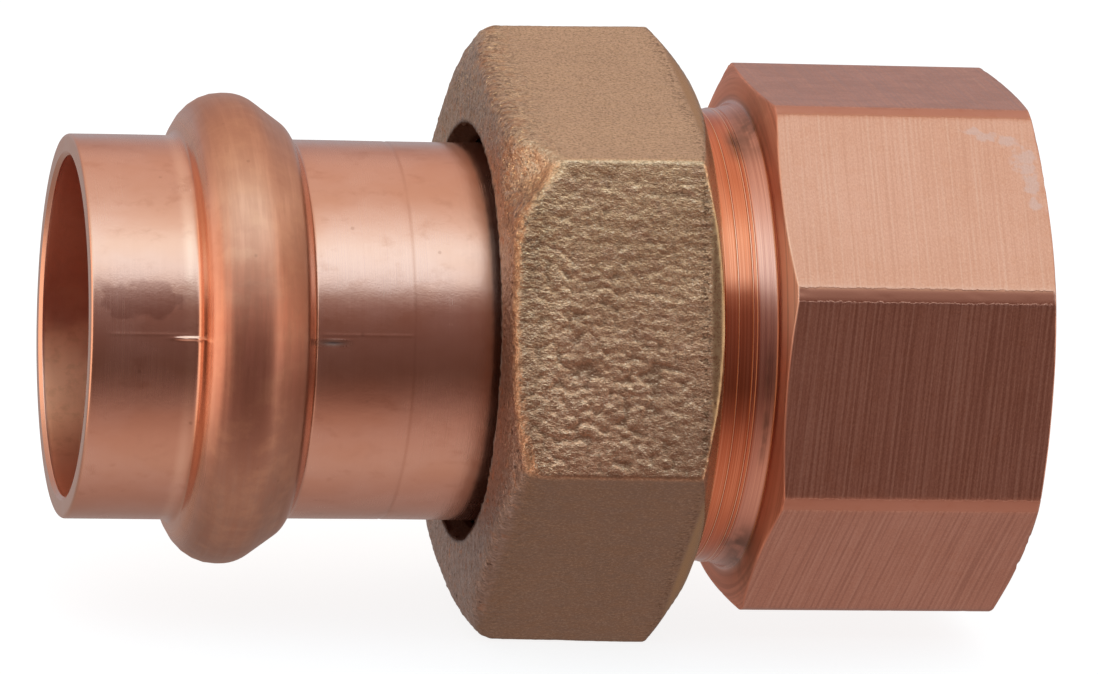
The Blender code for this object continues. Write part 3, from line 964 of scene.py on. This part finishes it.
def body_material():
    """Machined copper: polished orange neck, flats sawn square to the axis, smooth corner strips,
    painted highlights and reflections on the neck's ridges and cone, painted shade in the thread roots
    and on one strip.
    """
    paint = Paint("machined_copper", 1)
    x, r = paint.station, paint.radius
    cone_edge = r * 0.26 + (44.62 - 17 * 0.26)
    turned_share = (x - cone_edge).fade(0.03, 0.16)
    turned_share |= r.fade(16.9, 17.05) * x.fade(45.4, 45.8)
    sawn = 1 - turned_share
    eighth = (paint.arc * (4 / (math.pi * NECK_R))).math("FRACT")
    from_strip = (eighth - 0.5).math("ABSOLUTE")
    from_strip += paint.noise((0.3, 0.2, 0.2), 3, 0.6, 34).span(0.3, 0.7, -0.004, 0.004)
    strip = from_strip.fade(0.028, 0.034) * sawn
    front_slope = (CHAMFER_X[1] - CHAMFER_X[2]) / (CHAMFER_R[2] - CHAMFER_R[1])
    past_front = r * front_slope + x
    past_front -= LENGTH + front_slope * CHAMFER_R[0]
    strip *= past_front.fade(-0.16, -0.1) * r.span(16.6, 16.9)
    flat = sawn * (1 - strip) * r.span(13.75, 13.95)
    cloud = paint.noise((6, 5, 5), 3).span(0.3, 0.7)
    paint.colour = cloud.mix((0.565, 0.28, 0.205), (0.6, 0.31, 0.235))
    mottle = paint.noise((0.9, 0.9, 0.9), 4, 0.65, 7).span(0.5, 0.72, 0, 0.3)
    paint.tint(mottle, (0.52, 0.22, 0.14))
    slant = paint.towards(90) * -0.045 + x
    line_place = shade(paint.tree, "CombineXYZ", {}, {0: slant, 1: paint.y, 2: paint.z})
    stray = paint.noise((0.16, 14, 14), 3, 0.75, 2, place=line_place)
    drift = paint.noise((1.1, 30, 30), 2, 0.6, 16, place=line_place)
    feed = (slant * (TAU / 0.36) + drift * 9).math("SINE")
    lines = feed * 0.075 + stray
    sparkle = paint.noise((0.11, 0.16, 0.16), 2, 0.6, 5)
    on_lower = paint.towards(225).span(16.9, 17.07, 0.36, 0.62)
    paint.tint(lines.fade(0.32, 0.52) * flat * on_lower, (0.4, 0.18, 0.13))
    paint.tint(lines.span(0.52, 0.68) * flat * 0.4, (0.68, 0.42, 0.33))
    paint.tint(sparkle.fade(0.4, 0.5) * flat * 0.2, (0.38, 0.17, 0.11))
    paint.tint(sparkle.span(0.55, 0.64) * flat * 0.22, (0.74, 0.44, 0.3))
    # Painted shade: the corner strips take a darker orange, partly their own colour, and on the strip
    # facing 157.5 degrees mostly painted shade
    worn = paint.towards(157.5).span(18, 18.3, 0.3, 0.95)
    paint.tint(strip * worn, (0.42, 0.165, 0.105))
    orange = x.fade(43.12, 43.3)
    steep = x.span(44.38, 44.52) * turned_share
    paint.tint(turned_share, (0.62, 0.29, 0.215))
    paint.tint(orange, NECK_ORANGE)
    # Painted reflection and highlight on the steep band of the cone, pale in a band part way up
    highlight_band = paint.z.span(1.5, 6.5) * paint.z.fade(9.5, 12.5)
    paint.tint(steep, highlight_band.mix(CONE_REFLECTED_ORANGE, CONE_HIGHLIGHT))
    # Painted highlight along each turned ridge of the neck
    for ridge, _, half in NECK_RIDGES:
        paint.tint(x.near(ridge, half) * 0.8, (0.95, 0.66, 0.52))
    polish = paint.noise((0.07, 20, 20), 2, 0.6, 65)
    paint.tint(polish.span(0.5, 0.62, 0, 0.24) * turned_share, (0.95, 0.52, 0.35))
    paint.tint(polish.span(0.38, 0.5, 0.3, 0) * turned_share, (0.34, 0.12, 0.07))
    soft = paint.noise((1.4, 1.8, 1.8), 3, 0.5, 27)
    for station, degrees, along, reach in SMUDGES:
        distance = math.radians(degrees - 180) * 15.5
        spot = x.near(station, along * 1.3) * paint.arc.near(distance, reach * 1.5)
        spot *= soft.span(0.34, 0.6, 0.35, 1) * (1 - steep * 0.55)
        paint.tint(spot * turned_share * 0.9, (0.17, 0.09, 0.065))
    # Painted shade in the roots of the pipe thread and, as valley, of the union thread
    root = x * PIPE_TAPER + (PIPE_MOUTH_R - PIPE_TAPER * LENGTH)
    pipe_root_shade = (r - root).span(-1.24, -0.84) * r.fade(13.6, 13.9)
    pipe_root_shade *= x.span(46.6, 47) * x.fade(61.2, 61.6)
    valley = r.fade(14, 14.7) * x.fade(40.6, 40.9) * r.span(13.5, 13.8)
    paint.tint((pipe_root_shade | valley) * 0.8, (0.15, 0.06, 0.036))
    on_top = paint.towards(90).span(16.95, 17.07)
    tarnish = paint.noise((2.2, 1.2, 1.2), 3, 0.6, 71).span(0.42, 0.6, 0, 0.32)
    paint.tint(on_top * tarnish, (0.4, 0.2, 0.15))
    up_flat = paint.towards(45)
    on_flat = paint.towards(135).span(17, 17.07)
    stain = on_flat * 0
    for station, place, along, across in STAIN:
        stain |= x.near(station, along * 1.5) * up_flat.near(place, across * 1.5)
    stain = stain * 0.9 + paint.noise((0.7, 0.6, 0.6), 3, 0.55, 11).span(0.3, 0.7, -0.3, 0.3)
    stain = stain.span(0.3, 0.75) * on_flat
    paint.tint(on_flat * 0.2, (0.64, 0.32, 0.165))
    paint.tint(stain * 0.42, (0.62, 0.46, 0.42))
    rough = strip.blend(flat.blend(0.26, lines.span(0.36, 0.64, 0.32, 0.4)), 0.4)
    rough += steep * 0.3 + stain * flat * 0.1 - orange * 0.1
    normal = paint.bump(lines * flat, 0.012)
    normal = paint.bump(sparkle * flat, 0.014, normal)
    return paint.finish(rough, normal)


def rubber_material(name):
    """Moulded EPDM: near black, with a faint bloom and fine grain."""
    paint = Paint(name, 0)
    bloom = paint.noise((1.2, 1.2, 1.2), 3, 0.6)
    paint.colour = bloom.span(0.4, 0.75).mix((0.012, 0.012, 0.013), (0.04, 0.04, 0.042))
    rough = bloom.span(0.3, 0.7, 0.42, 0.6)
    normal = paint.bump(paint.noise((0.1, 0.1, 0.1), 2, 0.5, 3), 0.004)
    return paint.finish(rough, normal)


def finish_piece(piece, material, body, node):
    piece.data.materials.append(material)
    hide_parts(node)
    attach(piece, body)


# ------ camera and studio

# The camera and the tent are set level with the flow axis, then swung up around it
VIEW_TURN, VIEW_RISE, VIEW_ROLL = map(math.radians, (11.61, -0.87, 0.6))
SWING = Matrix.Rotation(math.radians(-15), 3, "X")
VIEW_DISTANCE = 548
VIEW_TARGET = Vector((1.15, 0, -0.3))
VIEW_LENS = 271.9


def add_camera():
    forward = Vector((math.sin(VIEW_TURN), math.cos(VIEW_TURN), -math.tan(VIEW_RISE))).normalized()
    side = forward.cross(Vector((0, 0, 1))).normalized()
    above = side.cross(forward)
    right = side * math.cos(VIEW_ROLL) + above * math.sin(VIEW_ROLL)
    up = above * math.cos(VIEW_ROLL) - side * math.sin(VIEW_ROLL)
    camera = bpy.data.objects.new("camera", bpy.data.cameras.new("camera"))
    camera.matrix_world = (SWING @ Matrix((right, up, -forward)).transposed()).to_4x4()
    camera.location = SWING @ (VIEW_TARGET - forward * VIEW_DISTANCE) * MM
    camera.data.lens = VIEW_LENS
    camera.data.clip_start = 0.01
    camera.data.clip_end = 20
    bpy.context.collection.objects.link(camera)
    bpy.context.scene.camera = camera


# Brightness of the light tent around the flow axis: degrees up from the camera's side, and colour
TENT = [
    (-180, (0.42, 0.38, 0.37)),
    (-152, (0.37, 0.31, 0.29)),
    (-130, (0.43, 0.33, 0.3)),
    (-110, (0.54, 0.42, 0.38)),
    (-90, (0.68, 0.56, 0.5)),
    (-72, (0.66, 0.51, 0.45)),
    (-55, (0.5, 0.35, 0.3)),
    (-42, (0.26, 0.165, 0.14)),
    (-28, (0.14, 0.088, 0.074)),
    (-8, (0.2, 0.13, 0.12)),
    (11, (0.27, 0.175, 0.16)),
    (21, (0.44, 0.35, 0.33)),
    (28, (1.32, 1.68, 1.92)),
    (50, (1.45, 1.85, 2.0)),
    (64, (1.18, 1.22, 1.18)),
    (84, (0.93, 0.8, 0.7)),
    (118, (0.85, 0.67, 0.58)),
    (138, (0.6, 0.44, 0.4)),
    (158, (0.49, 0.5, 0.55)),
    (180, (0.42, 0.38, 0.37)),
]
# Light that comes along the flow axis, from the press mouth's side and from the thread's side
MOUTH_LIGHT = (1.6, 1.2, 0.96)
THREAD_LIGHT = (1.5, 1.35, 1.2)


def add_tent():
    """World light that varies around the flow axis, as a white tent with a dark gap for the camera."""
    world = bpy.data.worlds.new("tent")
    bpy.context.scene.world = world
    world.use_nodes = True
    tree = world.node_tree
    direction = shade(tree, "TexCoord", {}, {}, "Generated")

    def along(axis):
        """How far the light comes from one direction."""
        return shade(tree, "VectorMath", {"operation": "DOT_PRODUCT"}, {0: direction, 1: axis}, "Value")

    height = along(SWING @ Vector((0, 0, 1)))
    degrees = height.math("ARCTAN2", along(SWING @ Vector((0, -1, 0)))) * math.degrees(1)
    light = degrees.ramp(TENT)
    for side, colour in ((-1, MOUTH_LIGHT), (1, THREAD_LIGHT)):
        light = along((side, 0, 0)).span(0.76, 0.97).mix(light, colour)
    connect(tree, tree.nodes["Background"].inputs[0], light)


def add_floor():
    """Pale floor under the lowest corner of the nut. Reflections see the tent instead of it."""
    data = bpy.data.meshes.new("floor")
    data.from_pydata([(-4, -4, 0), (4, -4, 0), (4, 4, 0), (-4, 4, 0)], [], [(0, 1, 2, 3)])
    floor = bpy.data.objects.new("floor", data)
    floor.location.z = (NUT_LOW[2] - 0.05) * MM
    bpy.context.collection.objects.link(floor)
    material = bpy.data.materials.new("floor_paper")
    material.use_nodes = True
    shader = material.node_tree.nodes["Principled BSDF"]
    looks = {"Base Color": (0.22, 0.23, 0.24, 1), "Roughness": 0.9, "Specular IOR Level": 0.1}
    looks |= {"Emission Color": (1, 1, 1, 1), "Emission Strength": 0.86}
    for name, value in looks.items():
        shader.inputs[name].default_value = value
    data.materials.append(material)
    floor.visible_glossy = False
    floor.visible_shadow = False


def main():
    add_camera()
    add_tent()
    add_floor()
    bpy.context.scene.view_settings.view_transform = "Standard"
    finish_piece(tailpiece(), tail_material(), "press_tail", "press_tailpiece")
    finish_piece(union_nut(), bronze_material(), "union_nut", "union_nut")
    finish_piece(threaded_body(), body_material(), "threaded_body", "threaded_body")
    seals = (
        ("press_seal_moulded", "press_tail", "press_o_ring", "press_seal_rubber"),
        ("joint_seal_moulded", "union_seal", "union_seal", "union_seal_rubber"),
    )
    for name, body, node, slot in seals:
        finish_piece(ring_seal(name, *node_span(node)), rubber_material(name), body, node)


main()
